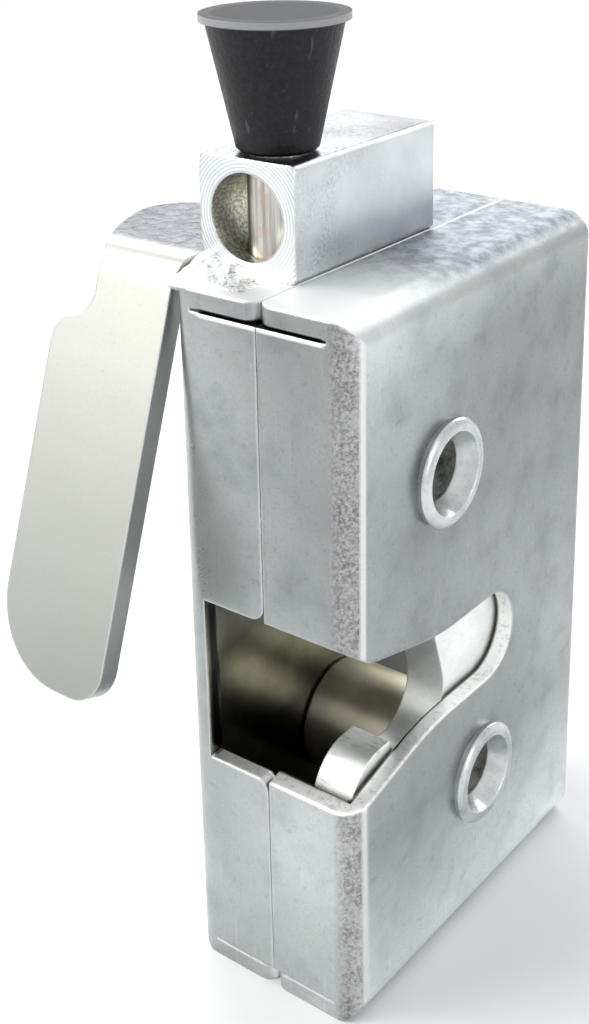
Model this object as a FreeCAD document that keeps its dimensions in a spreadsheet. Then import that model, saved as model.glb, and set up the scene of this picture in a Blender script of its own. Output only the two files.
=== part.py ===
import FreeCAD, Part
import math
import os
import Sketcher

# Rotary cab door lock: two folded sheet halves clamped by two hollow pivot tubes, a claw
# that takes the striker pin, a pawl that holds the claw, a pull knob that lifts the pawl,
# a square guide block for the outer push rod and a welded pull strip.
# X runs across the lock (seam at 0, slotted side +X), Y from the mouth to the rear, Z up.
# The origin is the middle of the lower fixing bore. Depths and heights below are counted
# from the front face and the bottom face; place() moves every piece to the origin.

# Driving dimensions in millimetres and degrees: name, value, meaning.
DIMENSIONS = [
    ("case_width", 28, "outside width over both side plates"),
    ("case_depth", 58, "front face to rear edge"),
    ("sheet", 2.5, "sheet thickness of both halves"),
    ("bend_radius", 3.5, "outer radius of every fold"),
    ("seam_gap", 0.2, "gap between the two halves"),
    ("top_slit", 0.4, "slit between the front flange and the top flange"),
    ("low_slit", 0.2, "slit between the front flange and the bottom flange"),
    ("flange_corner", 2, "rounding of the flange corners beside the seam"),
    ("mouth_low", 33, "height of the lower lip of the mouth"),
    ("mouth_high", 57, "height of the upper lip of the mouth"),
    ("mouth_side", 10, "half width of the mouth in the left half"),
    ("lip_drop", 2.6, "how far the upper edge drops round the fold"),
    ("slot_middle", 43.9, "height of the striker slot"),
    ("slot_width", 13.2, "width of the parallel striker slot"),
    ("slot_end", 32.6, "depth of the centre of the round slot end"),
    ("funnel_angle", 13.5, "slope of the slot's lead-in edges"),
    ("funnel_blend", 40, "radius between lead-in edge and slot edge"),
    ("lower_depth", 31, "depth of the lower pivot tube"),
    ("lower_height", 23, "height of the lower pivot tube"),
    ("upper_depth", 21, "depth of the upper pivot tube"),
    ("upper_height", 74, "height of the upper pivot tube"),
    ("top_gap", 26, "height of the top face above the upper pivot tube"),
    ("tube_outer", 12, "outer diameter of a pivot tube"),
    ("tube_bore", 8.4, "through bore for a fixing bolt"),
    ("rim_outer", 14.8, "diameter of the rolled rim"),
    ("rim_height", 1.4, "how far a rolled rim stands proud"),
    ("spacer_outer", 17.5, "outer diameter of the spacer sleeves"),
    ("running_gap", 0.05, "radial gap of a turning or sliding fit"),
    ("face_gap", 0.4, "gap beside a moving plate"),
    ("plate", 6, "thickness of claw and pawl"),
    ("claw_reach", 29.3, "radius of the claw's rim"),
    ("claw_hub", 13, "radius of the claw's hub"),
    ("claw_rim_start", 66, "angle where the rim begins behind the slot"),
    ("claw_front", 232, "angle where the nose's lower edge meets the hub"),
    ("claw_under", 300, "angle where the edge under the hub leaves it"),
    ("ear_low", 255, "angle where that edge meets the plate round the peg"),
    ("ear_high", 15, "angle where the rear edge leaves the plate round the peg"),
    ("throat_radius", 6.8, "radius of the claw's throat"),
    ("throat_distance", 20.3, "throat centre from the lower pivot"),
    ("throat_angle", 127.5, "direction of the throat from the lower pivot"),
    ("throat_wall", 17, "where the rear wall leaves the throat circle"),
    ("nose_height", 37.2, "height of the flat on top of the claw's nose"),
    ("nose_drop", 6.1, "height of the nose from its lower front corner to the flat"),
    ("nose_round", 7, "rounding of the nose's upper front corner"),
    ("nose_tip", 1.2, "rounding of the nose's lower front corner"),
    ("rim_round", 2, "rounding of the rim's rear corner"),
    ("tail_radius", 17.2, "spring peg on the claw, from the lower pivot"),
    ("tail_angle", -8.5, "direction of the claw's spring peg"),
    ("lobe", 4.6, "radius of the plate round a peg"),
    ("peg", 5, "diameter of the pegs"),
    ("peg_past", 3, "how far a peg stands past what it carries"),
    ("spring_across", 1, "plane of the claw spring, from the seam"),
    ("claw_wire", 1.6, "wire of the claw spring"),
    ("claw_turns", 7, "turns of the claw spring"),
    ("pawl_wire", 1.6, "wire of the pawl spring"),
    ("pawl_turns", 3, "full turns of the pawl spring"),
    ("anchor_drop", 14, "spring anchor below the upper pivot"),
    ("anchor_inset", 6, "spring anchor from the rear edge"),
    ("pawl_hub", 11, "radius of the pawl's hub"),
    ("pawl_gap", 0.3, "gap between the pawl's tip and the claw's rim"),
    ("pawl_tip_rear", 69, "rear corner of the pawl's tip, as an angle on the claw"),
    ("pawl_tip_front", 77.5, "front corner of the pawl's tip"),
    ("pawl_peg_out", 19.5, "lift peg behind the upper pivot"),
    ("pawl_peg_down", 4, "lift peg below the upper pivot"),
    ("block_side", 15, "side of the square guide block"),
    ("block_front", 8, "depth where the block begins"),
    ("block_length", 31, "length of the block"),
    ("block_edge", 0.8, "rounding of the block's long edges"),
    ("block_bore", 11.5, "bore of the block"),
    ("pin", 8, "diameter of the pull pin"),
    ("pin_depth", 14, "depth of the pull pin's axis"),
    ("pin_shift", 0.5, "pull pin's axis from the block's middle, towards the seam"),
    ("pin_rise", 10, "height of the pull pin's lower end above the upper pivot"),
    ("rivet", 2.4, "diameter of the rivet through pull pin and lift plate"),
    ("knob_foot", 10.6, "lower diameter of the knob"),
    ("knob_top", 17.4, "upper diameter of the knob's taper"),
    ("knob_rim", 18.8, "diameter of the thin rim"),
    ("knob_tall", 17, "height of the knob"),
    ("knob_lip", 0.9, "thickness of the thin rim"),
    ("knob_seat", 0.3, "gap under the knob"),
    ("lift_sheet", 3, "thickness of the lift plate"),
    ("lift_bar", 4.4, "height of the lift plate's bar"),
    ("lift_leg", 3.6, "width of the lift plate's leg"),
    ("lift_foot", 3.2, "height of the lift plate's foot"),
    ("strip_sheet", 3, "thickness of the pull strip"),
    ("strip_width", 19, "width of the hanging part"),
    ("strip_neck", 12.6, "width at the neck"),
    ("strip_shoulder", 8, "length of the shoulder between neck and hanging part"),
    ("strip_lean", 19, "lean of the hanging part, from the vertical"),
    ("strip_drop", 54.5, "length of the hanging part along its face"),
    ("strip_bend", 5, "outer bend radius of the strip"),
    ("strip_round", 11.5, "large rounding at the foot of the strip"),
    ("strip_corner", 4.5, "small rounding at the foot of the strip"),
    ("strip_rise", 1.8, "height of the strip's top face above the casing"),
    ("strip_crest", 1.4, "depth where the bent strip's face starts down"),
    ("tab_width", 21, "width of the strip's welded tab"),
    ("tab_end", 27, "depth of the tab's rear end"),
    ("tab_start", 3, "depth where the tab starts to widen"),
    ("tab_full", 19, "depth where the tab has its full width"),
    ("tab_bow", 45, "radius of the tab's widening side"),
    ("tab_corner", 7, "rounding of the tab's rear corner"),
    ("weld_ball", 2.3, "radius of one drop of the block's weld"),
    ("seam_ball", 1.7, "radius of one drop of the strip's weld"),
    ("weld_step", 2.3, "distance from drop to drop"),
]


class Size:
    """A number with the spreadsheet expression that gives it."""

    def __init__(self, number, text):
        self.number = number
        self.text = text

    def __add__(self, other):
        other = as_size(other)
        return Size(self.number + other.number, f"({self.text} + {other.text})")

    def __sub__(self, other):
        other = as_size(other)
        return Size(self.number - other.number, f"({self.text} - {other.text})")

    def __mul__(self, other):
        other = as_size(other)
        return Size(self.number * other.number, f"({self.text} * {other.text})")

    def __truediv__(self, other):
        other = as_size(other)
        return Size(self.number / other.number, f"({self.text} / {other.text})")

    def __neg__(self):
        return Size(-self.number, f"(0 - {self.text})")

    def __radd__(self, other):
        return as_size(other) + self

    def __rsub__(self, other):
        return as_size(other) - self

    def __rmul__(self, other):
        return as_size(other) * self


def as_size(value):
    return value if isinstance(value, Size) else Size(float(value), f"({float(value)})")


def cosine(angle):
    return Size(math.cos(math.radians(angle.number)), f"cos({angle.text} * 1 deg)")


def sine(angle):
    return Size(math.sin(math.radians(angle.number)), f"sin({angle.text} * 1 deg)")


def root(value):
    return Size(math.sqrt(value.number), f"sqrt({value.text})")


doc = FreeCAD.newDocument("cab_door_lock")
sheet_page = doc.addObject("Spreadsheet::Sheet", "Sizes")
dim = {}
for row, (name, number, meaning) in enumerate(DIMENSIONS, start=1):
    sheet_page.set(f"A{row}", meaning)
    sheet_page.set(f"B{row}", str(number))
    sheet_page.setAlias(f"B{row}", name)
    dim[name] = Size(float(number), f"Sizes.{name}")
doc.recompute()
dim["case_height"] = dim["upper_height"] + dim["top_gap"]
dim["strip_top"] = dim["case_height"] + dim["strip_rise"]
dim["pin_foot"] = dim["upper_height"] + dim["pin_rise"]

pieces = {}


def bind(thing, prop, size):
    """Sets a property from a Size and ties it to the sheet."""
    size = as_size(size)
    thing.setExpression(prop, size.text)


def place(thing, x=0, y=0, z=0):
    bind(thing, "Placement.Base.x", x)
    bind(thing, "Placement.Base.y", y - dim["lower_depth"])
    bind(thing, "Placement.Base.z", z - dim["lower_height"])


def new_body(name, x=0, y=0, z=0):
    """A sub-part whose own frame lies at a depth counted from the front face."""
    body = doc.addObject("PartDesign::Body", name)
    body.Label = name
    place(body, x, y, z)
    pieces[name] = body
    return body


def plane_sketch(body, name, role, offset=0, tilt=None):
    """A sketch on one of the body's own planes, moved along that plane's normal."""
    sketch = body.newObject("Sketcher::SketchObject", name)
    plane = next(f for f in body.Origin.OriginFeatures if f.Role == role)
    sketch.AttachmentSupport = [(plane, "")]
    sketch.MapMode = "FlatFace"
    bind(sketch, "AttachmentOffset.Base.z", offset)
    if tilt is not None:
        sketch.AttachmentOffset = FreeCAD.Placement(
            FreeCAD.Vector(0, 0, 0), FreeCAD.Rotation(FreeCAD.Vector(1, 0, 0), tilt.number)
        )
        bind(sketch, "AttachmentOffset.Rotation.Angle", tilt)
    return sketch


def lock(sketch, geometry, position, point):
    """Fixes a point of a sketch at two sizes from the sheet."""
    for kind, size in zip(("DistanceX", "DistanceY"), point):
        size = as_size(size)
        index = sketch.addConstraint(
            Sketcher.Constraint(kind, -1, 1, geometry, position, size.number)
        )
        sketch.setExpression(f"Constraints[{index}]", size.text)


def lock_radius(sketch, geometry, radius):
    radius = as_size(radius)
    index = sketch.addConstraint(Sketcher.Constraint("Radius", geometry, radius.number))
    sketch.setExpression(f"Constraints[{index}]", radius.text)


class Bow:
    """An arc to the next corner of an outline; left is True where it turns to the left."""

    def __init__(self, end, radius, left=True):
        self.end = end
        self.radius = as_size(radius)
        self.left = left


def vector(point):
    return FreeCAD.Vector(as_size(point[0]).number, as_size(point[1]).number, 0)


def bow_curve(start, bow):
    """The smaller arc of a given radius between two points, always drawn anticlockwise."""
    a = vector(start)
    b = vector(bow.end)
    if not bow.left:
        a, b = b, a
    half = (b - a) / 2
    rise = math.sqrt(max(bow.radius.number**2 - half.Length**2, 0.0))
    centre = a + half + FreeCAD.Vector(-half.y, half.x, 0).normalize() * rise
    ring = Part.Circle(centre, FreeCAD.Vector(0, 0, 1), bow.radius.number)
    first = math.atan2(a.y - centre.y, a.x - centre.x)
    last = math.atan2(b.y - centre.y, b.x - centre.x)
    return Part.ArcOfCircle(ring, first, last)


def outline(sketch, corners):
    """A closed outline of straight edges and arcs, every corner tied to the sheet."""
    ends = [c.end if isinstance(c, Bow) else c for c in corners]
    first = sketch.GeometryCount
    starts = []
    for index, corner in enumerate(corners):
        start = ends[index - 1]
        if isinstance(corner, Bow):
            made = sketch.addGeometry(bow_curve(start, corner), False)
            starts.append((made, 1, 2) if corner.left else (made, 2, 1))
            lock_radius(sketch, made, corner.radius)
        else:
            made = sketch.addGeometry(Part.LineSegment(vector(start), vector(corner)), False)
            starts.append((made, 1, 2))
    for index, (made, _, tail) in enumerate(starts):
        following = starts[(index + 1) % len(starts)]
        sketch.addConstraint(
            Sketcher.Constraint("Coincident", made, tail, following[0], following[1])
        )
        lock(sketch, made, tail, ends[index])
    return first


def circle(sketch, centre, radius):
    radius = as_size(radius)
    made = sketch.addGeometry(
        Part.Circle(vector(centre), FreeCAD.Vector(0, 0, 1), radius.number), False
    )
    lock(sketch, made, 3, centre)
    lock_radius(sketch, made, radius)


def pad(body, sketch, length, reverse=False):
    feature = body.newObject("PartDesign::Pad", f"{sketch.Name}_pad")
    feature.Profile = sketch
    feature.Reversed = reverse
    bind(feature, "Length", length)
    doc.recompute()
    return feature


def pocket(body, sketch, length, reverse=False):
    """Cuts a sketch into the body and makes sure that it took something away."""
    before = body.Shape.Volume
    feature = body.newObject("PartDesign::Pocket", f"{sketch.Name}_cut")
    feature.Profile = sketch
    feature.Reversed = reverse
    bind(feature, "Length", length)
    doc.recompute()
    if not feature.Shape.Volume < before:
        raise RuntimeError(f"{feature.Name} cuts nothing")
    return feature


def revolve(body, sketch, axis, cut=False):
    kind = "PartDesign::Groove" if cut else "PartDesign::Revolution"
    before = body.Shape.Volume if cut else 0
    feature = body.newObject(kind, f"{sketch.Name}_turn")
    feature.Profile = sketch
    feature.ReferenceAxis = (sketch, [axis])
    feature.Angle = 360
    doc.recompute()
    if cut and not feature.Shape.Volume < before:
        raise RuntimeError(f"{feature.Name} cuts nothing")
    return feature


def dress(body, kind, size, chosen):
    """A fillet or chamfer on the edges of the body's tip that the function picks."""
    base = body.Tip
    names = [f"Edge{i}" for i, edge in enumerate(base.Shape.Edges, start=1) if chosen(edge)]
    if not names:
        raise RuntimeError(f"no edge found to dress on {body.Label}")
    feature = body.newObject(f"PartDesign::{kind}", f"{body.Name}_{kind}")
    feature.Base = (base, names)
    bind(feature, "Radius" if kind == "Fillet" else "Size", size)
    doc.recompute()
    return feature


def along(edge, axis):
    """True for a straight edge that runs along one axis."""
    if edge.Curve.TypeId != "Part::GeomLine":
        return False
    run = edge.lastVertex().Point - edge.firstVertex().Point
    return abs(abs(run.normalize().dot(axis)) - 1) < 1e-6


AXIS_X = FreeCAD.Vector(1, 0, 0)
AXIS_Y = FreeCAD.Vector(0, 1, 0)
AXIS_Z = FreeCAD.Vector(0, 0, 1)
NEAR = 0.02
PAST = 1.0

half_width = dim["case_width"] / 2
inner_face = half_width - dim["sheet"]
fold = dim["bend_radius"]
inner_fold = dim["bend_radius"] - dim["sheet"]
seam = dim["seam_gap"] / 2
slot_low = dim["slot_middle"] - dim["slot_width"] / 2
slot_high = dim["slot_middle"] + dim["slot_width"] / 2
pin_across = dim["pin_shift"] - dim["block_side"] / 2
claw_face = inner_face - dim["face_gap"]


def at(value, size):
    return abs(value - size.number) < NEAR


def slot_outline():
    """Mouth, lead-in funnel and round-ended slot, drawn on the side plate."""
    slope = sine(dim["funnel_angle"]) / cosine(dim["funnel_angle"])
    blend = dim["funnel_blend"] * sine(dim["funnel_angle"] / 2) / cosine(dim["funnel_angle"] / 2)
    lead_y = blend * cosine(dim["funnel_angle"])
    lead_z = blend * sine(dim["funnel_angle"])
    low_corner = (slot_low - dim["mouth_low"]) / slope
    high_start = dim["mouth_high"] - dim["lip_drop"]
    high_corner = fold + (high_start - slot_high) / slope
    outside = as_size(-PAST)
    return [
        (outside, dim["mouth_low"]),
        (as_size(0), dim["mouth_low"]),
        (low_corner - lead_y, slot_low - lead_z),
        Bow((low_corner + blend, slot_low), dim["funnel_blend"], False),
        (dim["slot_end"], slot_low),
        Bow((dim["slot_end"] + dim["slot_width"] / 2, dim["slot_middle"]), dim["slot_width"] / 2),
        Bow((dim["slot_end"], slot_high), dim["slot_width"] / 2),
        (high_corner + blend, slot_high),
        Bow((high_corner - lead_y, slot_high + lead_z), dim["funnel_blend"], False),
        (fold, high_start),
        (as_size(0), dim["mouth_high"]),
        (outside, dim["mouth_high"]),
    ]


def strip_of(edge, far, low, high):
    """The four corners of an upright rectangle."""
    return [(edge, low), (far, low), (far, high), (edge, high)]


def shell(name, side):
    """One folded half of the casing; side is -1 for the left and +1 for the slotted right."""
    body = new_body(name)
    skin = dim["sheet"]
    deep = dim["case_depth"]
    tall = dim["case_height"]
    edge = side * seam
    past_edge = side * (seam - PAST)

    def folds(across, depth, low, high):
        """Picks the three edges where top, front and bottom fold over to the side plate."""

        def chosen(line):
            middle = line.CenterOfMass
            if not at(middle.x, side * across):
                return False
            flat = along(line, AXIS_Y) and (at(middle.z, low) or at(middle.z, high))
            return flat or (along(line, AXIS_Z) and at(middle.y, depth))

        return chosen

    block = plane_sketch(body, f"{name}_outside", "XZ_Plane")
    outline(block, strip_of(edge, side * half_width, as_size(0), tall))
    pad(body, block, deep, reverse=True)
    dress(body, "Fillet", fold, folds(half_width, as_size(0), as_size(0), tall))
    hollow = plane_sketch(body, f"{name}_hollow", "XZ_Plane", 0 - deep)
    outline(hollow, strip_of(past_edge, side * inner_face, skin, tall - skin))
    pocket(body, hollow, deep - skin, reverse=True)
    dress(body, "Fillet", inner_fold, folds(inner_face, skin, skin, tall - skin))
    flat = side * (half_width - fold)
    for place_name, low, high in (
        ("top", tall - skin - dim["top_slit"], tall - skin),
        ("low", skin, skin + dim["low_slit"]),
    ):
        slit = plane_sketch(body, f"{name}_{place_name}_slit", "XZ_Plane")
        outline(slit, strip_of(past_edge, flat, low, high))
        pocket(body, slit, skin)
    holes = plane_sketch(body, f"{name}_holes", "YZ_Plane")
    circle(holes, (dim["lower_depth"], dim["lower_height"]), dim["tube_outer"] / 2)
    circle(holes, (dim["upper_depth"], dim["upper_height"]), dim["tube_outer"] / 2)
    pocket(body, holes, half_width + PAST, reverse=side > 0)
    return body


def round_flanges(body, side):
    """Rounds the flange corners beside the seam."""

    def beside_seam(edge):
        middle = edge.CenterOfMass
        if not at(middle.x, side * seam):
            return False
        lip = at(middle.z, dim["mouth_low"]) or at(middle.z, dim["mouth_high"])
        front = at(middle.y, as_size(0))
        flange = middle.z < dim["sheet"].number or middle.z > (dim["case_height"] - dim["sheet"]).number
        return (along(edge, AXIS_Y) and lip) or (along(edge, AXIS_Z) and front and flange)

    dress(body, "Fillet", dim["flange_corner"], beside_seam)


def make_left_shell():
    body = shell("left_shell", -1)
    mouth = plane_sketch(body, "left_mouth", "XZ_Plane")
    outline(
        mouth,
        strip_of(as_size(PAST), 0 - dim["mouth_side"], dim["mouth_low"], dim["mouth_high"]),
    )
    pocket(body, mouth, dim["sheet"] + inner_fold)
    round_flanges(body, -1)
    pin_hole = plane_sketch(body, "left_pin_hole", "XY_Plane", dim["case_height"] + PAST)
    circle(pin_hole, (pin_across, dim["pin_depth"]), dim["pin"] / 2 + dim["face_gap"])
    pocket(body, pin_hole, dim["sheet"] + inner_fold + 2 * PAST)
    rivet_hole = plane_sketch(body, "left_rivet_hole", "YZ_Plane", 0 - half_width - PAST)
    circle(rivet_hole, (anchor_depth, anchor_height), anchor_neck / 2)
    pocket(body, rivet_hole, dim["sheet"] + 2 * PAST, reverse=True)


def make_right_shell():
    body = shell("right_shell", 1)
    slot = plane_sketch(body, "right_slot", "YZ_Plane")
    outline(slot, slot_outline())
    pocket(body, slot, half_width + PAST, reverse=True)
    round_flanges(body, 1)


def make_pivot_tube(name, depth, height):
    """A hollow tube with both ends rolled over the side plates into rounded rims."""
    body = new_body(name, 0, depth, height)
    section = plane_sketch(body, f"{name}_section", "XY_Plane")
    outer = dim["tube_outer"] / 2
    bore = dim["tube_bore"] / 2
    rim = dim["rim_outer"] / 2
    end = half_width + dim["rim_height"]
    flare = outer - 0.3
    bead = dim["rim_height"] * 0.62
    outline(
        section,
        [
            (0 - half_width, outer),
            (0 - half_width, rim - 0.2),
            (0 - half_width - bead, rim),
            Bow((0 - end, flare + 0.35), dim["rim_height"], True),
            (0 - end, flare),
            (0 - half_width + dim["sheet"] / 2, bore),
            (half_width - dim["sheet"] / 2, bore),
            (end, flare),
            (end, flare + 0.35),
            Bow((half_width + bead, rim), dim["rim_height"], True),
            (half_width, rim - 0.2),
            (half_width, outer),
        ],
    )
    revolve(body, section, "H_Axis")


def make_spacer(name, depth, height):
    """A sleeve that fills the pivot tube's free length beside a moving plate."""
    body = new_body(name, 0, depth, height)
    ring = plane_sketch(body, f"{name}_ring", "YZ_Plane", 0 - inner_face)
    circle(ring, (as_size(0), as_size(0)), dim["spacer_outer"] / 2)
    circle(ring, (as_size(0), as_size(0)), dim["tube_outer"] / 2)
    pad(body, ring, 2 * inner_face - 2 * dim["face_gap"] - dim["plate"])
    dress(body, "Chamfer", 0.4, lambda e: e.Length > 2.9 * dim["spacer_outer"].number)


def polar(centre, radius, angle):
    return (centre[0] + radius * cosine(angle), centre[1] + radius * sine(angle))


pivot = (dim["lower_depth"], dim["lower_height"])
upper = (dim["upper_depth"], dim["upper_height"])
tail = polar(pivot, dim["tail_radius"], dim["tail_angle"])
lift_peg = (upper[0] + dim["pawl_peg_out"], upper[1] - dim["pawl_peg_down"])
anchor_depth = dim["case_depth"] - dim["anchor_inset"]
anchor_height = dim["upper_height"] - dim["anchor_drop"]
anchor_neck = dim["peg"] - 1
spring_across = dim["spring_across"]
hook_inside = dim["peg"] / 2 - 0.3


def on_rim(height):
    """Depth of the claw's rim at a height, in front of the lower pivot."""
    over = height - pivot[1]
    return pivot[0] - root(dim["claw_reach"] * dim["claw_reach"] - over * over)


def make_claw():
    """The claw in its open position, as a thick plate against the slotted side."""
    body = new_body("claw")
    start = claw_face - dim["plate"]
    reach = dim["claw_reach"]
    lobe = dim["lobe"]
    hub = dim["claw_hub"]
    web = plane_sketch(body, "claw_web", "YZ_Plane", start)
    rim_start = polar(pivot, reach, dim["claw_rim_start"])
    nose_low = dim["nose_height"] - dim["nose_drop"]
    nose_end = (on_rim(nose_low), nose_low)
    outline(
        web,
        [
            rim_start,
            Bow(nose_end, reach),
            polar(pivot, hub, dim["claw_front"]),
            polar(pivot, hub, dim["claw_under"]),
            polar(tail, lobe, dim["ear_low"]),
            polar(tail, lobe, dim["ear_high"]),
        ],
    )
    pad(body, web, dim["plate"])
    rounds = plane_sketch(body, "claw_rounds", "YZ_Plane", start)
    circle(rounds, pivot, hub)
    pad(body, rounds, dim["plate"])
    ear = plane_sketch(body, "claw_ear", "YZ_Plane", start)
    circle(ear, tail, lobe)
    pad(body, ear, dim["plate"])
    throat = polar(pivot, dim["throat_distance"], dim["throat_angle"])
    wall = polar(throat, dim["throat_radius"], dim["throat_wall"])
    far = dim["throat_radius"] * 2
    wall_end = (
        wall[0] - far * sine(dim["throat_wall"]),
        wall[1] + far * cosine(dim["throat_wall"]),
    )
    mouth = plane_sketch(body, "claw_mouth", "YZ_Plane", start)
    outline(
        mouth,
        [
            (as_size(-PAST), dim["nose_height"]),
            (throat[0], dim["nose_height"]),
            wall,
            wall_end,
            (as_size(-PAST), wall_end[1]),
        ],
    )
    pocket(body, mouth, dim["plate"], reverse=True)
    round_cut = plane_sketch(body, "claw_throat", "YZ_Plane", start)
    circle(round_cut, throat, dim["throat_radius"])
    pocket(body, round_cut, dim["plate"], reverse=True)
    bores = plane_sketch(body, "claw_bores", "YZ_Plane", start)
    circle(bores, pivot, dim["tube_outer"] / 2 + dim["running_gap"])
    circle(bores, tail, dim["peg"] / 2)
    pocket(body, bores, dim["plate"], reverse=True)

    def across(edge, point, slack=NEAR):
        middle = edge.CenterOfMass
        here = abs(middle.y - point[0].number) < slack and abs(middle.z - point[1].number) < slack
        return along(edge, AXIS_X) and here

    nose_corner = (on_rim(dim["nose_height"]), dim["nose_height"])
    dress(body, "Fillet", dim["nose_round"], lambda e: across(e, nose_corner))
    dress(body, "Fillet", dim["nose_tip"], lambda e: across(e, nose_end))
    dress(body, "Fillet", dim["rim_round"], lambda e: across(e, rim_start))


def make_pawl():
    """The pawl, whose tip rides on the claw's rim and drops behind it when shut."""
    body = new_body("pawl")
    start = claw_face - dim["plate"]
    hub = dim["pawl_hub"]
    lobe = dim["lobe"]
    ride = dim["claw_reach"] + dim["pawl_gap"]
    web = plane_sketch(body, "pawl_web", "YZ_Plane", start)
    tip_rear = polar(pivot, ride, dim["pawl_tip_rear"])
    tip_front = polar(pivot, ride, dim["pawl_tip_front"])
    outline(
        web,
        [
            tip_rear,
            polar(lift_peg, lobe, as_size(-10)),
            polar(lift_peg, lobe, as_size(75)),
            polar(upper, hub, as_size(78)),
            polar(upper, hub, as_size(180)),
            polar(upper, hub, as_size(238)),
            tip_front,
        ],
    )
    pad(body, web, dim["plate"])
    rounds = plane_sketch(body, "pawl_rounds", "YZ_Plane", start)
    circle(rounds, upper, hub)
    pad(body, rounds, dim["plate"])
    ear = plane_sketch(body, "pawl_ear", "YZ_Plane", start)
    circle(ear, lift_peg, lobe)
    pad(body, ear, dim["plate"])
    bores = plane_sketch(body, "pawl_bores", "YZ_Plane", start)
    circle(bores, upper, dim["tube_outer"] / 2 + dim["running_gap"])
    circle(bores, lift_peg, dim["peg"] / 2)
    pocket(body, bores, dim["plate"], reverse=True)


def make_peg(name, centre, length, groove=None):
    """A plain peg pressed into a moving plate, with a groove for a spring hook."""
    body = new_body(name, 0, centre[0], centre[1])
    section = plane_sketch(body, f"{name}_section", "XY_Plane")
    radius = dim["peg"] / 2
    root_end = claw_face
    tip = claw_face - length
    bevel = 0.5
    corners = [
        (root_end, as_size(0)),
        (root_end, radius),
    ]
    if groove is not None:
        wide = as_size(1.1)
        corners += [
            (groove + wide, radius),
            (groove + wide, hook_inside - 0.3),
            (groove - wide, hook_inside - 0.3),
            (groove - wide, radius),
        ]
    corners += [
        (tip + bevel, radius),
        (tip, radius - bevel),
        (tip, as_size(0)),
    ]
    outline(section, corners)
    revolve(body, section, "H_Axis")


def make_spring_anchor():
    """A pin riveted into the left side plate, which holds the claw spring's upper hook."""
    body = new_body("spring_anchor", 0, anchor_depth, anchor_height)
    section = plane_sketch(body, "anchor_section", "XY_Plane")
    radius = dim["peg"] / 2 + 0.5
    neck = anchor_neck / 2
    head = as_size(1.2)
    wide = as_size(1.1)
    groove = hook_inside - 0.3
    tip = spring_across + dim["peg_past"]
    outline(
        section,
        [
            (0 - half_width - head, as_size(0)),
            (0 - half_width - head, radius * 0.5),
            Bow((0 - half_width, radius + 0.6), radius * 1.1, False),
            (0 - half_width, neck),
            (0 - inner_face, neck),
            (0 - inner_face, radius),
            (spring_across - wide, radius),
            (spring_across - wide, groove),
            (spring_across + wide, groove),
            (spring_across + wide, radius),
            (tip, radius),
            (tip, as_size(0)),
        ],
    )
    revolve(body, section, "H_Axis")


def make_guide_block():
    """Square bar with a bore for the push rod and a cross hole for the pull pin."""
    body = new_body("guide_block")
    side = dim["block_side"]
    low = dim["case_height"]
    square = plane_sketch(body, "block_square", "XZ_Plane", 0 - dim["block_front"])
    outline(
        square,
        [
            (0 - side, low),
            (as_size(0), low),
            (as_size(0), low + side),
            (0 - side, low + side),
        ],
    )
    pad(body, square, dim["block_length"], reverse=True)
    dress(body, "Fillet", dim["block_edge"], lambda e: along(e, AXIS_Y))
    bore = plane_sketch(body, "block_bore_ring", "XZ_Plane", 0 - dim["block_front"])
    circle(bore, (0 - side / 2, low + side / 2), dim["block_bore"] / 2)
    pocket(body, bore, dim["block_length"])
    cross = plane_sketch(body, "block_cross", "XY_Plane", low + side)
    circle(cross, (pin_across, dim["pin_depth"]), dim["pin"] / 2 + dim["running_gap"])
    pocket(body, cross, side)
    bevel = plane_sketch(body, "block_bevel", "XY_Plane", low + side / 2)
    start = side * 0.6
    deep = side * 0.08
    axis = 0 - side / 2
    outline(
        bevel,
        [
            (axis + start, dim["block_front"] - PAST),
            (axis + side, dim["block_front"] - PAST),
            (axis + side, dim["block_front"] + deep),
            (axis + start, dim["block_front"]),
        ],
    )
    ends = ((axis, as_size(0)), (axis, dim["block_length"]))
    line = bevel.addGeometry(Part.LineSegment(vector(ends[0]), vector(ends[1])), True)
    lock(bevel, line, 1, ends[0])
    lock(bevel, line, 2, ends[1])
    revolve(body, bevel, "Axis0", cut=True)


def make_pull_strip():
    """A bent strip: welded tab on top, then a hanging paddle that leans to the front."""
    body = new_body("pull_strip")
    skin = dim["strip_sheet"]
    top = dim["strip_top"]
    lean = dim["strip_lean"]
    outer = dim["strip_bend"]
    inner = outer - skin
    right_edge = 0 - dim["block_side"]
    crest = dim["strip_crest"] + outer
    turned = (crest - outer * cosine(lean), top - outer + outer * sine(lean))
    turned_in = (crest - inner * cosine(lean), top - outer + inner * sine(lean))
    run = dim["strip_drop"]
    side = plane_sketch(body, "strip_side", "YZ_Plane", right_edge)
    outline(
        side,
        [
            (dim["tab_end"], top),
            (crest, top),
            Bow(turned, outer),
            (turned[0] - run * sine(lean), turned[1] - run * cosine(lean)),
            (turned_in[0] - run * sine(lean), turned_in[1] - run * cosine(lean)),
            turned_in,
            Bow((crest, top - skin), inner, False),
            (dim["tab_end"], top - skin),
        ],
    )
    pad(body, side, dim["tab_width"], reverse=True)
    return body


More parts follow.
